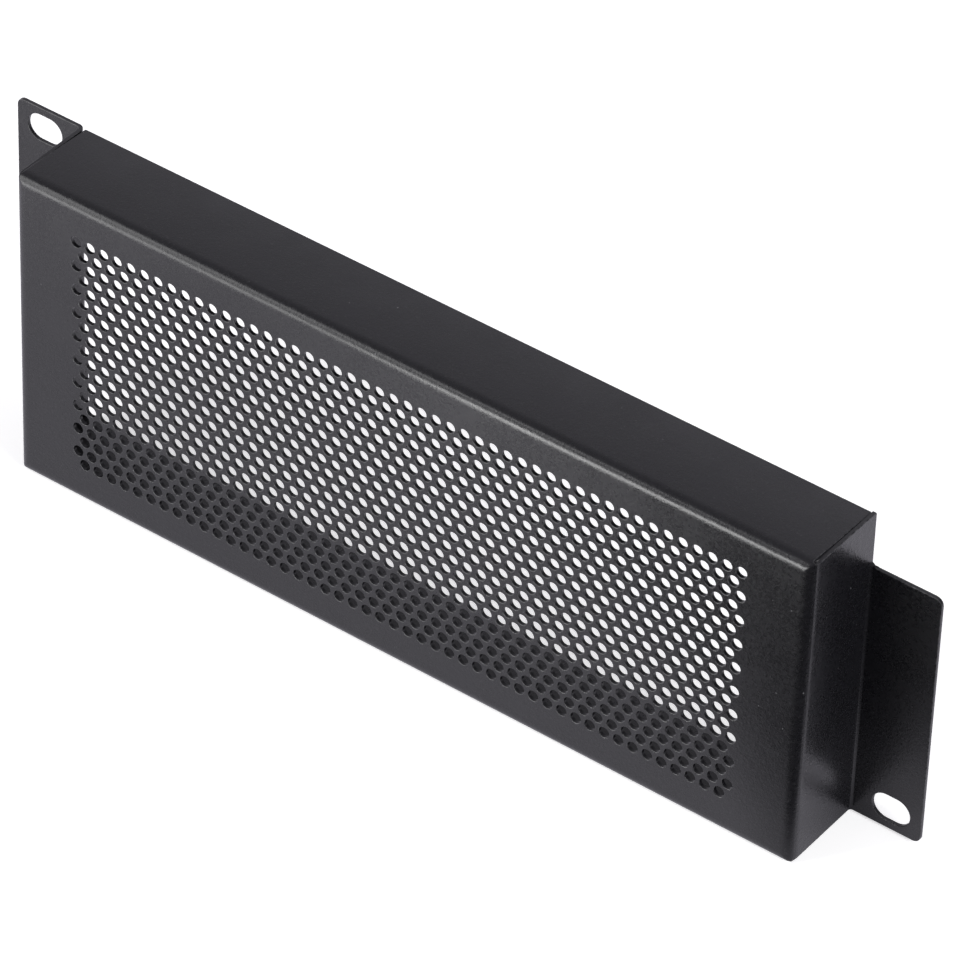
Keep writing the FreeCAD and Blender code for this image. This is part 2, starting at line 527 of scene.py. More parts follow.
@dataclass
class Blank:
    """The flat blank of the panel, laid out as one net of triangles.

    The net stops short of every cut edge by edge_round, where the rounding
    starts, and short of every vent by vent_round. Two folds that meet in a
    closed corner leave a wedge out of the blank, and both sides of the wedge
    land on each other once it is folded. A fold's last line keeps least_gap
    from the end of the closed corner, and lines go past the blank's edge by
    line_excess.
    """

    folds: Folds
    vents: Perforation
    slot: EarSlot
    edge_round: float = 0.22
    inner_edge_round: float = 0.08
    vent_round: float = 0.2
    inner_vent_round: float = 0.02
    flange_corner: float = 0.4
    wall_corner: float = 0.6
    ear_corner: float = 2.0
    ear_root: float = 0.5
    notch_corner: float = 0.2
    fold_steps: int = 16
    ear_fold_steps: int = 8
    corner_steps: int = 5
    blend_steps: int = 6
    least_gap: float = 0.02
    line_excess: float = 0.5
    book: PointBook = field(default_factory=lambda: PointBook(1000))
    triangles: list[Triangle] = field(default_factory=list)

    @property
    def _tab(self) -> float:
        """Length along a front fold at which the closed corner's net ends."""
        return self.folds.front.length_at_depth(self.folds.closed_corner_depth) - self.edge_round

    @property
    def _flange_end(self) -> float:
        """Distance from the middle to where a flange's flat ends."""
        folds = self.folds
        return folds.cover_width / 2 - folds.thickness - folds.flange_end_gap - self.edge_round

    @property
    def _wall_end(self) -> float:
        """Height above the middle at which a side wall's flat ends."""
        return self.folds.cover_height / 2 - self.folds.wall_step - self.edge_round

    def _fold_stops(self) -> list[float]:
        """Lengths along a front fold at which the net has its lines."""
        return [self.folds.front.length * step / self.fold_steps for step in range(self.fold_steps + 1)]

    def _mitre_width(self, stop: float) -> float:
        """Width of a fold at its mitre, past the flat of the face."""
        return self.folds.front.reach_at(stop) / 2 ** (1 / self.folds.corner_power)

    def _closed_corner(self, up: int) -> list[Corner]:
        """Blank outline of a closed corner, from the flange to the side wall.

        Args:
            up: 1 for the upper corner and -1 for the lower one.

        Returns:
            Corners of the outline of the right half.
        """
        folds = self.folds
        tab = self._tab
        stops = [stop for stop in self._fold_stops() if 0 < stop < tab - self.least_gap] + [tab]
        radius = self.notch_corner + self.edge_round
        line = [(self._flange_end, up * (folds.flat_z + tab), radius)]
        line += [(folds.flat_x + self._mitre_width(stop), up * (folds.flat_z + stop), 0.0)
                 for stop in reversed(stops)]
        line.append((folds.flat_x, up * folds.flat_z, 0.0))
        line += [(folds.flat_x + stop, up * (folds.flat_z + self._mitre_width(stop)), 0.0) for stop in stops]
        line.append((folds.flat_x + tab, up * self._wall_end, radius))
        return line

    def _outline(self) -> np.ndarray:
        """Draws the line round the whole blank, where the rounding of its edge starts.

        Returns:
            The points of the closed line.
        """
        folds = self.folds
        inset = self.edge_round
        flange_x = self._flange_end
        flange_z = folds.flat_z + folds.front.length + folds.flange_depth - folds.front.reach - inset
        wall_z = self._wall_end
        wall_across = folds.ear_fold + folds.ear_fold_depth - inset
        ear_across = folds.ear_flat + folds.ear_reach - folds.ear_radius - inset
        ear_z = folds.ear_top - inset
        right = [(flange_x, flange_z, self.flange_corner - inset)]
        right += self._closed_corner(1)
        right.append((wall_across, wall_z, self.wall_corner - inset))
        right.append((wall_across, ear_z, self.ear_root + inset))
        right.append((ear_across, ear_z, self.ear_corner - inset))
        right.append((ear_across, -wall_z, self.ear_corner - inset))
        right += reversed(self._closed_corner(-1))
        right.append((flange_x, -flange_z, self.flange_corner - inset))
        left = [(-across, -height, radius) for across, height, radius in right]
        return np.array(rounded_loop(right + left, self.corner_steps))

    def _fold_lines(self) -> list[Line2]:
        """Draws lines along every fold, so that the net follows the round of the fold.

        Returns:
            Both ends of each line.
        """
        folds = self.folds
        wall_z = folds.cover_height / 2 - folds.wall_step + self.line_excess
        flange_x = folds.cover_width / 2 + self.line_excess
        lines = []
        for stop in self._fold_stops():
            mitred = stop < self._tab - self.least_gap
            end_height = folds.flat_z + self._mitre_width(stop) if mitred else wall_z
            end_across = folds.flat_x + self._mitre_width(stop) if mitred else flange_x
            for side in (-1, 1):
                across = side * (folds.flat_x + stop)
                height = side * (folds.flat_z + stop)
                lines.append(((across, -end_height), (across, end_height)))
                lines.append(((-end_across, height), (end_across, height)))
            if 0 < stop and mitred:
                lines += self._corner_lines(stop)
        for step in range(self.ear_fold_steps + 1):
            across = folds.ear_fold + folds.ear_radius * QUARTER_TURN * step / self.ear_fold_steps
            lines += [((side * across, -wall_z), (side * across, wall_z)) for side in (-1, 1)]
        for step in range(-1, self.blend_steps + 1):
            height = folds.ear_top + folds.ear_blend * step / self.blend_steps
            end_across = folds.ear_fold + folds.ear_fold_depth + self.line_excess
            lines += [((side * folds.ear_fold, side * height), (side * end_across, side * height))
                      for side in (-1, 1)]
        return lines

    def _corner_lines(self, stop: float) -> list[Line2]:
        """Draws lines from one stop of the mitre to the closed corner's end, in all four corners.

        Args:
            stop: Length along the fold at which the lines start.

        Returns:
            Both ends of each line.
        """
        folds = self.folds
        width = self._mitre_width(stop)
        lines = []
        for side in (-1, 1):
            for up in (-1, 1):
                across = side * (folds.flat_x + width)
                height = up * (folds.flat_z + width)
                lines.append(((across, up * (folds.flat_z + stop)),
                              (across, up * (folds.flat_z + self._tab))))
                lines.append(((side * (folds.flat_x + stop), height),
                              (side * (folds.flat_x + self._tab), height)))
        return lines

    def _add_cells(self) -> list[tuple[int, int]]:
        """Adds the cells of all vents.

        Returns:
            The directed edges round all cells together.
        """
        rim = self.vents.rim(self.vent_round)
        corners = self.vents.cell_corners()
        pattern = self.vents.cell_triangles()
        edges = set()
        for centre in self.vents.centres():
            numbers = [self.book.number(point) for point in np.vstack([rim, corners]) + centre]
            self.triangles += [tuple(numbers[corner] for corner in triangle) for triangle in pattern]
            cell = numbers[self.vents.sides:]
            edges |= {(cell[side], cell[(side + 1) % CELL_SIDES]) for side in range(CELL_SIDES)}
        return [edge for edge in edges if edge[::-1] not in edges]

    def _chain(self, edges: list[tuple[int, int]]) -> np.ndarray:
        """Puts directed edges in order.

        Args:
            edges: The edges of one closed line.

        Returns:
            The points of the closed line.
        """
        following = dict(edges)
        start = edges[0][0]
        line = [start]
        while following[line[-1]] != start:
            line.append(following[line[-1]])
        return np.array([self.book.points[number] for number in line])

    def lay_out(self) -> tuple[np.ndarray, np.ndarray]:
        """Lays the whole net out on the blank.

        Returns:
            Its points and its triangles, counter-clockwise from the front.
        """
        cells = self._chain(self._add_cells())
        slot = self.slot.loop(self.folds, self.edge_round)
        outline = self._outline()
        spots, faces = self._triangulate((outline, cells, slot, -slot), self._fold_lines())
        middles = spots[faces].mean(axis=1)
        kept = inside_loop(middles, outline)
        for hole in (cells, slot, -slot):
            kept &= ~inside_loop(middles, hole)
        least_area = 1e-9
        for face in faces[kept]:
            corners = spots[face]
            area = np.cross(corners[1] - corners[0], corners[2] - corners[0])
            if abs(area) < least_area:
                continue
            numbers = tuple(self.book.number(corner) for corner in corners)
            self.triangles.append(numbers if area > 0 else numbers[::-1])
        return np.array(self.book.points), np.array(self.triangles)

    def _triangulate(self, loops: tuple[np.ndarray, ...],
                     lines: list[Line2]) -> tuple[np.ndarray, np.ndarray]:
        """Fills the plane with triangles that keep to all given lines.

        Args:
            loops: Closed lines that the triangles keep to.
            lines: Single lines that they keep to.

        Returns:
            Corner points, and the three corner numbers of each triangle.
        """
        book = PointBook(100000)
        edges = []
        for loop in loops:
            numbers = [book.number(point) for point in loop]
            edges += [(start, end) for start, end in zip(numbers, numbers[1:] + numbers[:1]) if start != end]
        edges += [(book.number(start), book.number(end)) for start, end in lines]
        places = [Vector(point) for point in book.points]
        whole_hull = 0
        snap_distance = 1e-6
        found = geometry.delaunay_2d_cdt(places, edges, [], whole_hull, snap_distance)
        return np.array([tuple(spot) for spot in found[0]]), np.array(found[2])


@dataclass
class SheetMesh:
    """A folded sheet as a closed mesh: outer side, inner side and rounded cut edges.

    Points closer than the weld grid become one. Vents lie at least
    vent_margin inside the flat of the face, and no other cut edge does.
    """

    folds: Folds
    blank: Blank
    name: str
    weld_places_per_mm: int = 5000
    vent_margin: float = 1.0

    def _weld(self, outer: np.ndarray) -> np.ndarray:
        """Finds points that lie at the same place.

        Args:
            outer: The points, one a row.

        Returns:
            For each point, the number of the first point at its place.
        """
        keys = np.round(outer * self.weld_places_per_mm).astype(np.int64)
        _, first, inverse = np.unique(keys, axis=0, return_index=True, return_inverse=True)
        return first[inverse.ravel()]

    def _folded_net(self) -> tuple[np.ndarray, np.ndarray, np.ndarray, np.ndarray]:
        """Folds the net and joins the two sides of each closed corner.

        Returns:
            Blank points, folded points, directions out of the sheet, and triangles.
        """
        flat, triangles = self.blank.lay_out()
        outer = self.folds.place(flat)
        facing = self.folds.normals(flat)
        triangles = self._weld(outer)[triangles]
        used = np.unique(triangles)
        renumber = np.full(len(flat), -1)
        renumber[used] = np.arange(len(used))
        return flat[used], outer[used], facing[used], renumber[triangles]

    def _open_edges(self, triangles: np.ndarray, count: int) -> np.ndarray:
        """Finds the edges that belong to one triangle only.

        Args:
            triangles: The triangles' corner numbers.
            count: How many points there are.

        Returns:
            Start and end of each edge, one a row.
        """
        edges = triangles[:, [0, 1, 1, 2, 2, 0]].reshape(-1, 2)
        codes = edges[:, 0] * count + edges[:, 1]
        return edges[~np.isin(codes, edges[:, 1] * count + edges[:, 0])]

    def _edge_profile(self, rounding: np.ndarray,
                      inner: np.ndarray) -> list[tuple[np.ndarray, np.ndarray, float, float]]:
        """Lines of points along a cut edge, from the outer side to the inner side.

        Args:
            rounding: Radius of the outer rounding at each point of the edge.
            inner: Depth of the inner rounding at each point of the edge.

        Returns:
            For each line: how far out, how deep, the angle turned and the mark,
            which goes from 0 on the sheet over the crest to the cut.
        """
        thickness = self.folds.thickness
        lean = math.pi / 4
        return [
            (rounding * math.sin(lean), rounding * (1 - math.cos(lean)), lean, CREST_MARK),
            (rounding, rounding, QUARTER_TURN, CUT_MARK),
            (rounding, thickness - inner, QUARTER_TURN, CUT_MARK),
        ]

    def build(self) -> bpy.types.Object:
        """Builds the mesh.

        Returns:
            The new object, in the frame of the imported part, in metres.
        """
        flat, outer, facing, triangles = self._folded_net()
        count = len(outer)
        open_edges = self._open_edges(triangles, count)
        following = np.full(count, -1)
        previous = np.full(count, -1)
        following[open_edges[:, 0]] = open_edges[:, 1]
        previous[open_edges[:, 1]] = open_edges[:, 0]
        rim = np.flatnonzero(following >= 0)
        spot = np.full(count, -1)
        spot[rim] = np.arange(len(rim))
        along = outer[following[rim]] - outer[previous[rim]]
        outward = unit_rows(np.cross(along, facing[rim]))

        face_half = np.array([self.folds.flat_x, self.folds.flat_z]) - self.vent_margin
        in_vents = (np.abs(flat[rim]) < face_half).all(axis=1)
        rounding = np.where(in_vents, self.blank.vent_round, self.blank.edge_round)[:, None]
        inner = np.where(in_vents, self.blank.inner_vent_round, self.blank.inner_edge_round)[:, None]
        places = [outer, outer - facing * self.folds.thickness]
        normals = [facing, -facing]
        marks = [np.zeros(count), np.zeros(count)]
        lines = [rim]
        base = 2 * count
        for out, depth, angle, mark in self._edge_profile(rounding, inner):
            places.append(outer[rim] + outward * out - facing[rim] * depth)
            normals.append(facing[rim] * math.cos(angle) + outward * math.sin(angle))
            marks.append(np.full(len(rim), mark))
            lines.append(base + np.arange(len(rim)))
            base += len(rim)
        lines.append(count + rim)

        faces = [triangles, triangles[:, ::-1] + count]
        zones = [np.full(2 * len(triangles), CoatZone.SHEET.value)]
        start, end = spot[open_edges].T
        for near, far in zip(lines, lines[1:]):
            faces.append(np.stack([near[end], near[start], far[start]], axis=1))
            faces.append(np.stack([near[end], far[start], far[end]], axis=1))
            zones.append(np.full(2 * len(start), CoatZone.CUT_EDGE.value))
        return self._to_object(np.vstack(places), np.vstack(normals), np.vstack(faces),
                               np.concatenate(zones), np.concatenate(marks))

    def _to_object(self, places: np.ndarray, normals: np.ndarray, faces: np.ndarray,
                   zones: np.ndarray, marks: np.ndarray) -> bpy.types.Object:
        """Turns the arrays of the mesh into an object.

        Args:
            places: Points in millimetres from the middle of the front face.
            normals: One direction a point.
            faces: Triangles.
            zones: Coat zone of each triangle.
            marks: How far each point lies round the edge.

        Returns:
            The new object.
        """
        shift = np.array([0.0, -self.folds.cover_depth / 2, self.folds.cover_height / 2])
        mesh = bpy.data.meshes.new(self.name)
        mesh.from_pydata(((places + shift) * METRES_PER_MM).tolist(), [], faces.tolist())
        mesh.polygons.foreach_set("use_smooth", np.ones(len(faces), bool))
        mesh.polygons.foreach_set("material_index", zones.astype(np.int32))
        edge_mark = mesh.attributes.new(EDGE_MARK, "FLOAT", "POINT")
        edge_mark.data.foreach_set("value", marks.astype(np.float32))
        mesh.normals_split_custom_set_from_vertices(unit_rows(normals).tolist())
        mesh.update()
        return add_object(self.name, mesh)


@dataclass
class NodeBench:
    """Short ways to add and join shader nodes in one tree."""

    tree: Tree

    def add(self, kind: str, **settings: object) -> bpy.types.Node:
        """Adds a node.

        Args:
            kind: Blender's name for the kind of node.
            settings: Values for the node's own properties.

        Returns:
            The new node.
        """
        node = self.tree.nodes.new(kind)
        for name, value in settings.items():
            setattr(node, name, value)
        return node

    def join(self, source: Socket, target: Socket) -> None:
        """Joins two sockets."""
        self.tree.links.new(source, target)

    def feed(self, target: Socket, value: object) -> None:
        """Joins a socket to a target, or sets the target to a plain value.

        Args:
            target: The socket that takes the value.
            value: A socket, a number or a colour.
        """
        if isinstance(value, bpy.types.NodeSocket):
            self.join(value, target)
        else:
            target.default_value = value

    def coordinates(self, kind: str) -> Socket:
        """Texture coordinates of a kind, such as Object."""
        return self.add("ShaderNodeTexCoord").outputs[kind]

    def parts(self, vector: Socket) -> Sockets:
        """Splits a vector.

        Args:
            vector: The vector's socket.

        Returns:
            Sockets of its three parts.
        """
        node = self.add("ShaderNodeSeparateXYZ")
        self.join(vector, node.inputs[0])
        return node.outputs

    def math(self, operation: str, first: object, second: object = 0.0, held: bool = False) -> Socket:
        """Adds a math node.

        Args:
            operation: Blender's name for the operation.
            first: First value or socket.
            second: Second value or socket.
            held: Whether the result is held between 0 and 1.

        Returns:
            The result's socket.
        """
        node = self.add("ShaderNodeMath", operation=operation, use_clamp=held)
        self.feed(node.inputs[0], first)
        self.feed(node.inputs[1], second)
        return node.outputs[0]

    def times(self, first: object, second: object) -> Socket:
        """Multiplies two values."""
        return self.math("MULTIPLY", first, second)

    def per_metre(self, size: object) -> Socket:
        """How often a size in millimetres goes into a metre, as textures take it."""
        return self.math("DIVIDE", 1 / METRES_PER_MM, size)

    def noise(self, position: Socket, size: object, detail: float, roughness: float = 0.5) -> Socket:
        """Adds soft noise.

        Args:
            position: Where on the object the surface is.
            size: Size of the largest features in millimetres.
            detail: How many finer layers there are.
            roughness: How strong the finer layers are.

        Returns:
            The noise's socket, mostly near a half.
        """
        node = self.add("ShaderNodeTexNoise", noise_dimensions="3D")
        self.join(position, node.inputs["Vector"])
        self.join(self.per_metre(size), node.inputs["Scale"])
        node.inputs["Detail"].default_value = detail
        node.inputs["Roughness"].default_value = roughness
        return node.outputs["Fac"]

    def remap(self, value: Socket, span: Span, to: Span = (0.0, 1.0), smooth: bool = False) -> Socket:
        """Maps a range of values to another, held at both ends.

        Args:
            value: What is mapped.
            span: Start and end of the range.
            to: What the start and the end become.
            smooth: Whether the way between is eased.

        Returns:
            The result's socket.
        """
        node = self.add("ShaderNodeMapRange", interpolation_type="SMOOTHSTEP" if smooth else "LINEAR")
        for name, entry in zip(("Value", "From Min", "From Max", "To Min", "To Max"), (value, *span, *to)):
            self.feed(node.inputs[name], entry)
        return node.outputs["Result"]

    def blend(self, share: object, first: object, second: object) -> Socket:
        """Blends two colours.

        Args:
            share: Share of the second colour.
            first: First colour.
            second: Second colour.

        Returns:
            The blended colour's socket.
        """
        node = self.add("ShaderNodeMix", data_type="RGBA")
        self.feed(node.inputs[0], share)
        self.feed(node.inputs[6], first)
        self.feed(node.inputs[7], second)
        return node.outputs[2]


class SurfaceEffect:
    """A shader node group with named sockets, built once and placed in each material."""

    name = "surface_effect"
    inputs: dict[str, float] = {}
    outputs: tuple[str, ...] = ()

    def group(self) -> Tree:
        """Finds the effect's node group, or builds it when it is first asked for.

        Returns:
            The node group.
        """
        found = bpy.data.node_groups.get(self.name)
        if found is not None:
            return found
        tree = bpy.data.node_groups.new(self.name, "ShaderNodeTree")
        tree.interface.new_socket(name="Position", in_out="INPUT", socket_type="NodeSocketVector")
        for name, value in self.inputs.items():
            socket = tree.interface.new_socket(name=name, in_out="INPUT", socket_type="NodeSocketFloat")
            socket.default_value = value
        for name in self.outputs:
            tree.interface.new_socket(name=name, in_out="OUTPUT", socket_type="NodeSocketFloat")
        bench = NodeBench(tree)
        given = bench.add("NodeGroupInput")
        result = bench.add("NodeGroupOutput")
        self.wire(bench, given.outputs, result.inputs)
        return tree

    def wire(self, bench: NodeBench, given: Sockets, result: Sockets) -> None:
        """Fills the group with nodes. Each effect has its own.

        Args:
            bench: Where the nodes go.
            given: The group's inputs.
            result: The group's outputs.
        """
        raise NotImplementedError

    def place(self, bench: NodeBench, position: Socket, **values: object) -> Sockets:
        """Places the effect in a material.

        Args:
            bench: The material's nodes.
            position: Where on the object the surface is.
            values: Values or sockets for the group's inputs.

        Returns:
            The placed group's outputs.
        """
        node = bench.add("ShaderNodeGroup", node_tree=self.group())
        bench.join(position, node.inputs["Position"])
        for name, value in values.items():
            bench.feed(node.inputs[name.replace("_", " ")], value)
        return node.outputs


class PowderGrain(SurfaceEffect):
    """The fine orange peel of a cured powder coat, with coarser grains here and there."""

    name = "powder_grain"
    inputs = {"Grain Size": 0.35, "Peel Size": 1.6, "Peel Share": 0.35}
    outputs = ("Height", "Sparkle")
    proud_grains: Span = (0.6, 0.75)

    def wire(self, bench: NodeBench, given: Sockets, result: Sockets) -> None:
        """Fine noise for the grain, broader noise for the peel.

        Args:
            bench: Where the nodes go.
            given: Position, the sizes of grain and peel in millimetres, and the peel's share.
            result: Height from 0 to 1, and a sparse mask of proud grains.
        """
        grain = bench.noise(given["Position"], given["Grain Size"], detail=2.0, roughness=0.62)
        peel = bench.noise(given["Position"], given["Peel Size"], detail=1.0)
        coarse = bench.times(peel, given["Peel Share"])
        fine = bench.times(grain, bench.math("SUBTRACT", 1.0, given["Peel Share"]))
        bench.join(bench.math("ADD", coarse, fine), result["Height"])
        bench.join(bench.remap(grain, self.proud_grains, smooth=True), result["Sparkle"])


class CoatMottle(SurfaceEffect):
    """Slow changes of tone where the powder went on thicker or thinner."""

    name = "coat_mottle"
    inputs = {"Cloud Size": 14.0, "Fleck Size": 0.9}
    outputs = ("Cloud", "Fleck")
    contrast: Span = (0.3, 0.7)

    def wire(self, bench: NodeBench, given: Sockets, result: Sockets) -> None:
        """Broad clouds, and small flecks within them.

        Args:
            bench: Where the nodes go.
            given: Position and the sizes of clouds and flecks in millimetres.
            result: Cloud and fleck, each from 0 to 1.
        """
        for output, detail in (("Cloud", 3.0), ("Fleck", 2.0)):
            tone = bench.noise(given["Position"], given[f"{output} Size"], detail)
            bench.join(bench.remap(tone, self.contrast), result[output])


class DustSpecks(SurfaceEffect):
    """Sparse pale specks of dust lying on the coat."""

    name = "dust_specks"
    inputs = {"Spacing": 5.0, "Speck Size": 0.2, "Share": 0.55}
    outputs = ("Mask",)
    least_width = 0.5

    def wire(self, bench: NodeBench, given: Sockets, result: Sockets) -> None:
        """Small spots about scattered points, only some of which show.

        Args:
            bench: Where the nodes go.
            given: Position, the spacing and size of the specks in millimetres, and the share that shows.
            result: The mask of the specks.
        """
        cells = bench.add("ShaderNodeTexVoronoi", voronoi_dimensions="3D", feature="F1")
        bench.join(given["Position"], cells.inputs["Vector"])
        bench.join(bench.per_metre(given["Spacing"]), cells.inputs["Scale"])
        pick = bench.add("ShaderNodeSeparateColor")
        bench.join(cells.outputs["Color"], pick.inputs[0])
        reach = bench.math("DIVIDE", given["Speck Size"], given["Spacing"])
        wide = bench.times(reach, bench.math("ADD", pick.outputs[1], self.least_width))
        spot = bench.math("SUBTRACT", 1.0, bench.math("DIVIDE", cells.outputs["Distance"], wide), held=True)
        shown = bench.math("LESS_THAN", pick.outputs[0], given["Share"])
        bench.join(bench.times(spot, shown), result["Mask"])


class PaintedRearSheen(SurfaceEffect):
    """Painted light: faces that look up are made lighter towards the rear, in soft patches, as a painted
    sheen.
    """

    name = "painted_rear_sheen"
    inputs = {"Facing Up": 0.0, "Patch Size": 9.0}
    outputs = ("Mask",)
    level_faces: Span = (0.8, 1.0)
    front_to_rear: Span = (-0.011, 0.011)
    contrast: Span = (0.25, 0.75)
    cover: Span = (0.6, 1.0)

    def wire(self, bench: NodeBench, given: Sockets, result: Sockets) -> None:
        """A ramp from front to rear, broken up by soft patches.

        Args:
            bench: Where the nodes go.
            given: Position, how far the surface looks up and the size of the patches in millimetres.
            result: The mask of the painted sheen.
        """
        level = bench.remap(given["Facing Up"], self.level_faces, smooth=True)
        rear = bench.remap(bench.parts(given["Position"])[1], self.front_to_rear)
        patches = bench.noise(given["Position"], given["Patch Size"], detail=4.0)
        patches = bench.remap(patches, self.contrast, self.cover)
        bench.join(bench.times(bench.times(level, rear), patches), result["Mask"])


class EdgeRubAndHighlight(SurfaceEffect):
    """A lighter band along the crest of a rounded edge: coat rubbed thin by handling, and partly a painted
    highlight where the rounding catches light.
    """

    name = "edge_rub_and_highlight"
    inputs = {"Edge Mark": 0.0, "Patch Size": 0.9}
    outputs = ("Mask",)
    contrast: Span = (0.35, 0.65)

    def wire(self, bench: NodeBench, given: Sockets, result: Sockets) -> None:
        """A band at the crest of the rounding, broken up by noise. Its lighter colour is partly a painted
        highlight.

        Args:
            bench: Where the nodes go.
            given: Position, the edge mark of the mesh and the size of the patches in millimetres.
            result: The mask of the rubbed edge and its painted highlight.
        """
        from_crest = bench.math("ABSOLUTE", bench.math("SUBTRACT", given["Edge Mark"], CREST_MARK))
        crest = bench.math("SUBTRACT", 1.0, bench.times(from_crest, 1 / CREST_MARK), held=True)
        patches = bench.noise(given["Position"], given["Patch Size"], detail=2.0)
        bench.join(bench.times(crest, bench.remap(patches, self.contrast)), result["Mask"])


@dataclass(frozen=True)
class PowderCoat:
    """Satin black powder coat, fine textured. Lengths are in millimetres."""

    name: str
    # Lighter colour of rounded edge crests: rubbed coat, and partly a painted highlight.
    rub_and_highlight_colour: Colour
    roughness: float = 0.28
    bump_depth: float = 0.08
    colour: Colour = (0.0058, 0.0057, 0.0070)
    fleck_colour: Colour = (0.0100, 0.0098, 0.0120)
    grain_colour: Colour = (0.05, 0.05, 0.052)
    # Colour of the dust specks, and of the painted sheen on upward faces.
    dust_and_sheen_colour: Colour = (0.2, 0.2, 0.21)
    cloud_shades: Span = (0.86, 1.16)
    fleck_share: float = 0.5
    grain_share: float = 0.3
    painted_sheen_share: float = 0.1
    roughness_spread: float = 0.05
    speckle: float = 0.06
    dust_roughness: float = 0.4
    grain_size: float = 0.6

    def build(self) -> bpy.types.Material:
        """Builds the material.

        Returns:
            The new material.
        """
        material = bpy.data.materials.new(self.name)
        material.use_nodes = True
        material.diffuse_color = opaque(self.colour)
        material.roughness = self.roughness
        bench = NodeBench(material.node_tree)
        shader = material.node_tree.nodes["Principled BSDF"]
        position = bench.coordinates("Object")
        edge = bench.add("ShaderNodeAttribute", attribute_name=EDGE_MARK).outputs["Fac"]
        facing_up = bench.parts(bench.coordinates("Normal"))[2]
        grain = PowderGrain().place(bench, position, Grain_Size=self.grain_size)
        mottle = CoatMottle().place(bench, position)
        dust = DustSpecks().place(bench, position)
        # Edge crests are painted lighter: partly rubbed coat, partly a painted highlight.
        rub_and_highlight = EdgeRubAndHighlight().place(bench, position, Edge_Mark=edge)
        # Painted sheen: upward faces are painted lighter towards the rear.
        painted_sheen = PaintedRearSheen().place(bench, position, Facing_Up=facing_up)

        thin, thick = [opaque([part * shade for part in self.colour]) for shade in self.cloud_shades]
        tone = bench.blend(mottle["Cloud"], thin, thick)
        layers = (
            (bench.times(mottle["Fleck"], self.fleck_share), self.fleck_colour),
            (bench.times(grain["Sparkle"], self.grain_share), self.grain_colour),
            (rub_and_highlight["Mask"], self.rub_and_highlight_colour),
            (bench.times(painted_sheen["Mask"], self.painted_sheen_share), self.dust_and_sheen_colour),
            (dust["Mask"], self.dust_and_sheen_colour),
        )
        for share, colour in layers:
            tone = bench.blend(share, tone, opaque(colour))
        bench.join(tone, shader.inputs["Base Color"])

        whole = (0.0, 1.0)
        gloss = bench.remap(mottle["Cloud"], whole, around(self.roughness, self.roughness_spread / 2))
        speckle = bench.remap(mottle["Fleck"], whole, around(0.0, self.speckle / 2))
        for change in (speckle, bench.times(dust["Mask"], self.dust_roughness)):
            gloss = bench.math("ADD", gloss, change)
        bench.join(gloss, shader.inputs["Roughness"])
        bump = bench.add("ShaderNodeBump")
        bump.inputs["Strength"].default_value = 1.0
        bump.inputs["Distance"].default_value = self.bump_depth * METRES_PER_MM
        bench.join(grain["Height"], bump.inputs["Height"])
        bench.join(bump.outputs["Normal"], shader.inputs["Normal"])
        return material


@dataclass
class VentedPanel:
    """The whole panel: one folded sheet in its coat."""

    folds: Folds = field(default_factory=Folds)
    vents: Perforation = field(default_factory=Perforation)
    slot: EarSlot = field(default_factory=EarSlot)
    sheet_coat: PowderCoat = PowderCoat("black_powder_coat", (0.020, 0.020, 0.022))
    cut_coat: PowderCoat = PowderCoat("black_powder_coat_cut_edge", (0.075, 0.075, 0.078),
                                      roughness=0.30, bump_depth=0.05)
    piece_name: str = "coated_panel"

    def build(self) -> bpy.types.Object:
        """Builds the sheet and dresses it.

        Returns:
            The finished piece, riding on the part's body.
        """
        blank = Blank(self.folds, self.vents, self.slot)
        panel = SheetMesh(self.folds, blank, self.piece_name).build()
        self.dress(panel)
        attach(panel, "root")
        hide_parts("vented_panel")
        return panel

    def dress(self, panel: bpy.types.Object) -> None:
        """Gives the sheet and its cut edges their coats, in the order of CoatZone."""
        for coat in (self.sheet_coat, self.cut_coat):
            panel.data.materials.append(coat.build())


@dataclass(frozen=True)
class Softbox:
    """A soft rectangular lamp that faces the object. Lengths are in metres."""

    name: str
    place: Place3
    aim: Place3
    width: float
    height: float
    power: float
    seen_in_gloss: bool = True
    lights_matt: bool = True

    def build(self) -> bpy.types.Object:
        """Sets the lamp up.

        Returns:
            The lamp's object.
        """
        lamp = bpy.data.lights.new(self.name, "AREA")
        lamp.shape = "RECTANGLE"
        lamp.size = self.width
        lamp.size_y = self.height
        lamp.energy = self.power
        holder = add_object(self.name, lamp)
        holder.location = self.place
        way = Vector(self.aim) - Vector(self.place)
        holder.rotation_euler = way.to_track_quat("-Z", "Y").to_euler()
        holder.visible_glossy = self.seen_in_gloss
        holder.visible_diffuse = self.lights_matt
        holder.visible_camera = False
        return holder


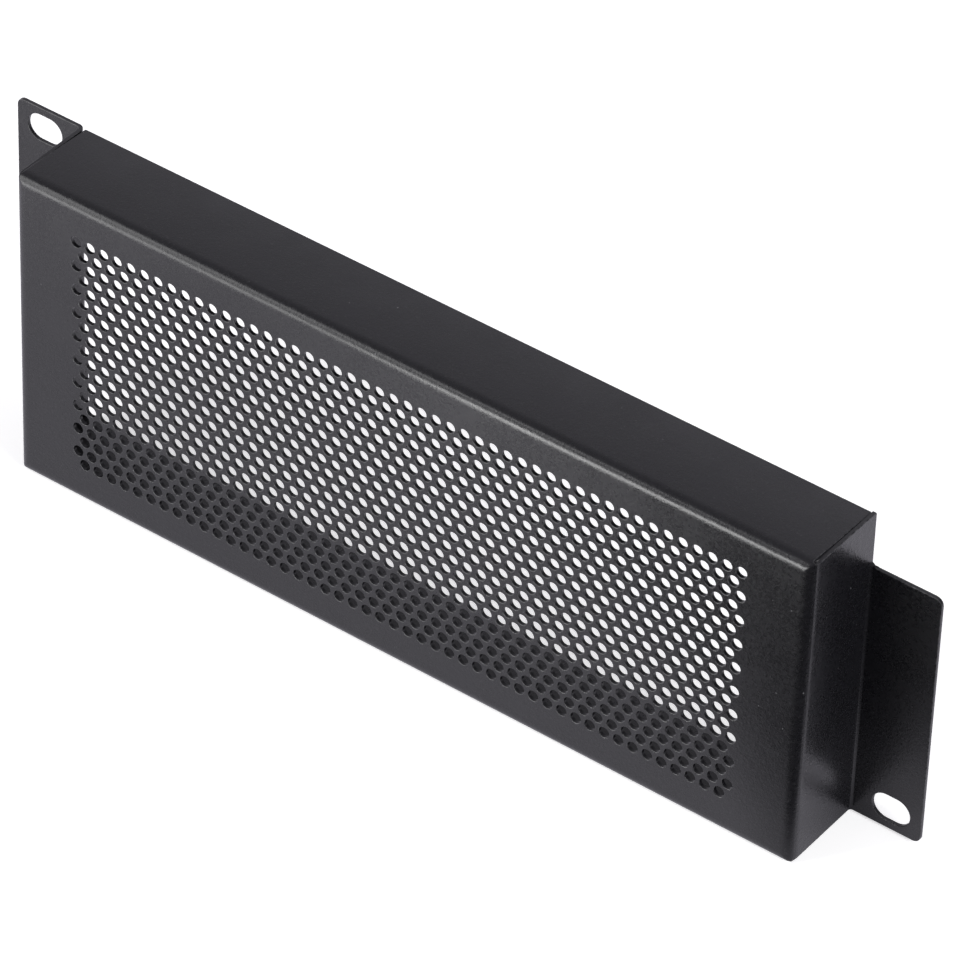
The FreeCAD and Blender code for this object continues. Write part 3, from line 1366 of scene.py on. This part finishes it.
@dataclass
class Studio:
    """Plain pale floor, pale room, soft lamps and the camera, in metres.

    Camera, gloss and matt paint each see floor and room at a level of their own. Gloss sees a painted pool
    of light on the floor, up to a line in front of the object, with painted shade past it, and a painted
    shadow in the nook between side wall and ear.
    """

    floor_half: float = 3.0
    floor_drop: float = 0.0001
    floor_colour: float = 0.8
    floor_roughness: float = 0.9
    floor_specular: float = 0.1
    floor_glow: float = 0.54
    # Painted light on the floor for gloss only: a glow up to a line towards the camera, and painted shade
    # past it.
    painted_glow_front: float = 0.080
    painted_glow_fade: float = 0.011
    mirrored_floor_colour: float = 0.36
    painted_floor_glow: float = 0.60
    painted_shade_glow: float = 0.03
    # Where the floor's painted shadow lies in the nook between the right side wall and its ear.
    nook_shadow_depth: Span = (-0.008, 0.014)
    nook_shadow_right: Span = (0.129, 0.113)
    nook_shadow_left: Span = (0.104, 0.111)
    room_level: float = 0.32
    room_low_right: float = 0.20
    room_low_left: float = 0.47
    room_high: float = 0.34
    turn_left: Span = (0.2, -0.35)
    turn_high: Span = (0.62, 0.92)
    tint: Colour = (1.0, 0.975, 1.07)
    camera_place: Place3 = (0.712604, -0.981777, 1.052662)
    camera_right: Place3 = (0.80055337, 0.59857761, 0.02862060)
    camera_up: Place3 = (-0.39995840, 0.49812882, 0.76935100)
    camera_back: Place3 = (0.44625954, -0.62735359, 0.63818485)
    camera_shift: Point2 = (-0.000535, 0.000552)
    camera_reach: Span = (0.05, 50.0)
    sensor_width: float = 36.0
    focal_length: float = 258.2955
    lamps: tuple[Softbox, ...] = (
        Softbox("left_softbox", (-0.76, -0.73, 0.50), (-0.05, 0.0, 0.07), 0.63, 0.92, 5.6,
                lights_matt=False),
        Softbox("low_strip", (0.012, -0.170, 0.040), (0.07, 0.0, 0.08), 0.155, 0.070, 0.30,
                lights_matt=False),
        Softbox("low_strip_left", (-0.167, -0.170, 0.040), (-0.10, 0.0, 0.08), 0.20, 0.070, 0.21,
                lights_matt=False),
        Softbox("left_fill", (-0.85, -1.05, 1.10), (0.0, 0.0, 0.04), 0.5, 0.5, 14.0,
                seen_in_gloss=False),
        Softbox("right_fill", (1.20, -0.20, 0.60), (0.0, 0.0, 0.04), 0.5, 0.5, 13.0,
                seen_in_gloss=False),
    )

    def build(self) -> None:
        """Sets the whole studio up."""
        self._floor()
        self._room()
        for lamp in self.lamps:
            lamp.build()
        self._camera()

    def _tinted(self, level: float) -> OpaqueColour:
        """A grey of this level in the cool tint of the room."""
        return opaque([level * share for share in self.tint])

    def _ray_share(self, bench: NodeBench, *kinds: RayKind) -> Socket:
        """Tells some kinds of rays from the rest.

        Args:
            bench: The material's nodes.
            kinds: The kinds of rays.

        Returns:
            A socket that is 1 for rays of these kinds.
        """
        path = bench.add("ShaderNodeLightPath")
        share: object = 0.0
        for kind in kinds:
            share = bench.math("ADD", share, path.outputs[kind.value], held=True)
        return share

    def _floor(self) -> bpy.types.Object:
        """The floor: pale, shadowed by the object, and bright to camera and gloss. Only gloss sees its
        painted glow, the painted shade past it and a painted shadow in the nook.

        Returns:
            The floor's object.
        """
        half = self.floor_half
        mesh = bpy.data.meshes.new("studio_floor")
        outline = ((-half, -half), (half, -half), (half, half), (-half, half))
        mesh.from_pydata([(x, y, -self.floor_drop) for x, y in outline], [], [(0, 1, 2, 3)])
        floor = add_object("studio_floor", mesh)
        material = bpy.data.materials.new("pale_floor")
        material.use_nodes = True
        bench = NodeBench(material.node_tree)
        shader = material.node_tree.nodes["Principled BSDF"]
        shader.inputs["Roughness"].default_value = self.floor_roughness
        shader.inputs["Specular IOR Level"].default_value = self.floor_specular
        shader.inputs["Emission Strength"].default_value = 1.0
        glossy = self._ray_share(bench, RayKind.GLOSSY)
        seen = self._ray_share(bench, RayKind.CAMERA, RayKind.CLEAR)
        # Gloss sees a painted glow up to a line towards the camera, painted shade past it, and a painted
        # shadow in the nook.
        painted_shade_share = self._past_painted_glow(bench)
        glow = bench.blend(seen, BLACK, opaque([self.floor_glow] * 3))
        mirrored = bench.blend(painted_shade_share, self._tinted(self.painted_floor_glow), self._tinted(self.painted_shade_glow))
        mirrored = bench.blend(self._painted_nook_shadow(bench), mirrored, self._tinted(self.painted_shade_glow))
        bench.join(bench.blend(glossy, glow, mirrored), shader.inputs["Emission Color"])
        # Past the painted glow the floor's colour turns black to gloss: painted shade.
        mirrored = bench.blend(painted_shade_share, self._tinted(self.mirrored_floor_colour), BLACK)
        colour = bench.blend(glossy, opaque([self.floor_colour] * 3), mirrored)
        bench.join(colour, shader.inputs["Base Color"])
        mesh.materials.append(material)
        return floor

    def _past_painted_glow(self, bench: NodeBench) -> Socket:
        """Finds where the floor's painted glow ends in front of the object and painted shade begins, as
        gloss sees it.

        Args:
            bench: The floor's nodes.

        Returns:
            The mask's socket.
        """
        place = bench.parts(bench.coordinates("Object"))
        towards = Vector(self.camera_back[:2]).normalized()
        forward = bench.math("ADD", bench.times(place[0], towards.x), bench.times(place[1], towards.y))
        return bench.remap(forward, around(self.painted_glow_front, self.painted_glow_fade))

    def _painted_nook_shadow(self, bench: NodeBench) -> Socket:
        """Finds the painted shadow on the floor in the nook between the right side wall and its ear, as
        gloss sees it.

        Args:
            bench: The floor's nodes.

        Returns:
            The mask's socket.
        """
        place = bench.parts(bench.coordinates("Object"))
        rear = bench.remap(place[1], self.nook_shadow_depth)
        near = bench.remap(place[0], self.nook_shadow_right, smooth=True)
        outside = bench.remap(place[0], self.nook_shadow_left)
        return bench.times(rear, bench.times(near, outside))

    def _room(self) -> None:
        """Sets up the pale room round the set, white where the camera sees it."""
        world = bpy.data.worlds.new("pale_room")
        world.use_nodes = True
        bpy.context.scene.world = world
        bench = NodeBench(world.node_tree)
        background = world.node_tree.nodes["Background"]
        glossy = self._ray_share(bench, RayKind.GLOSSY)
        seen = self._ray_share(bench, RayKind.CAMERA, RayKind.CLEAR)
        colour = bench.blend(glossy, self._tinted(self.room_level), self._mirrored_room(bench))
        bench.join(bench.blend(seen, colour, WHITE), background.inputs["Color"])
        background.inputs["Strength"].default_value = 1.0

    def _mirrored_room(self, bench: NodeBench) -> Socket:
        """Colours the room as gloss sees it: brighter to the left and low down.

        Args:
            bench: The room's nodes.

        Returns:
            The colour's socket.
        """
        way = bench.parts(bench.coordinates("Generated"))
        left = bench.remap(way[0], self.turn_left, smooth=True)
        high = bench.remap(way[2], self.turn_high, smooth=True)
        low = bench.blend(left, self._tinted(self.room_low_right), self._tinted(self.room_low_left))
        return bench.blend(high, low, self._tinted(self.room_high))

    def _camera(self) -> bpy.types.Object:
        """The camera at the photograph's place.

        Returns:
            The camera's object.
        """
        data = bpy.data.cameras.new("camera")
        data.sensor_fit = "HORIZONTAL"
        data.sensor_width = self.sensor_width
        data.lens = self.focal_length
        data.shift_x, data.shift_y = self.camera_shift
        data.clip_start, data.clip_end = self.camera_reach
        camera = add_object("camera", data)
        turn = Matrix((self.camera_right, self.camera_up, self.camera_back)).transposed()
        camera.matrix_world = Matrix.Translation(self.camera_place) @ turn.to_4x4()
        bpy.context.scene.camera = camera
        return camera


def main() -> None:
    """Builds the panel and the studio, and reports each piece."""
    logging.basicConfig(level=logging.INFO, format="%(name)s: %(message)s")
    bpy.context.scene.view_settings.view_transform = "Standard"
    panel = VentedPanel().build()
    log.info("%s: %d triangles", panel.name, len(panel.data.polygons))
    Studio().build()
    log.info("studio: floor, room, lamps and camera")


if __name__ == "__main__":
    main()
